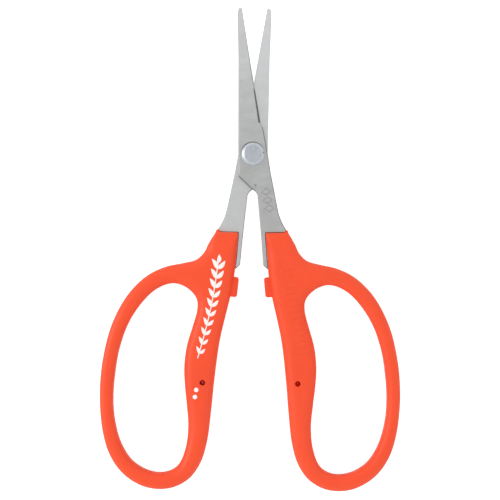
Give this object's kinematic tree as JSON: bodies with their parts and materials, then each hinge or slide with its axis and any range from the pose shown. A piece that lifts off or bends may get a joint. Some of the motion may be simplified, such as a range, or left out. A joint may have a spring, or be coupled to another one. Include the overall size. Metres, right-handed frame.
{
  "type": "floral snips",
  "caption": "Hand snips for cutting flower stems: slim steel blades on a screw pivot, with moulded plastic finger-loop handles and closing stoppers.",
  "frame": {"origin": "on the pivot axis, in the plane that the snips lie on: the nut's back face", "axes": "+Y along the closed blades towards the tips, +Z along the pivot axis towards the screw's head, +X across the snips towards the handle of the front blade"},
  "size_m": [0.1138, 0.183, 0.0092],
  "materials": {
    "blade_steel": "fine ground stainless steel",
    "pivot_steel": "turned steel, bluish grey",
    "handle_plastic": "satin moulded orange-red plastic",
    "stopper_plastic": "slightly soft moulded plastic, a little redder than the handles"
  },
  "bodies": {
    "rear_half": {"rear_blade": "blade_steel", "left_handle": "handle_plastic", "left_stopper": "stopper_plastic", "pivot_screw": "pivot_steel", "pivot_washer": "pivot_steel", "spring_washer": "pivot_steel", "pivot_nut": "pivot_steel"},
    "front_half": {"front_blade": "blade_steel", "right_handle": "handle_plastic", "right_stopper": "stopper_plastic"}
  },
  "joints": [
    {"name": "blade_pivot", "type": "hinge", "parent": "rear_half", "child": "front_half", "pos_m": [0, 0, 0.0046], "axis": [0, 0, 1], "range_deg": [-11.4, 50]}
  ]
}
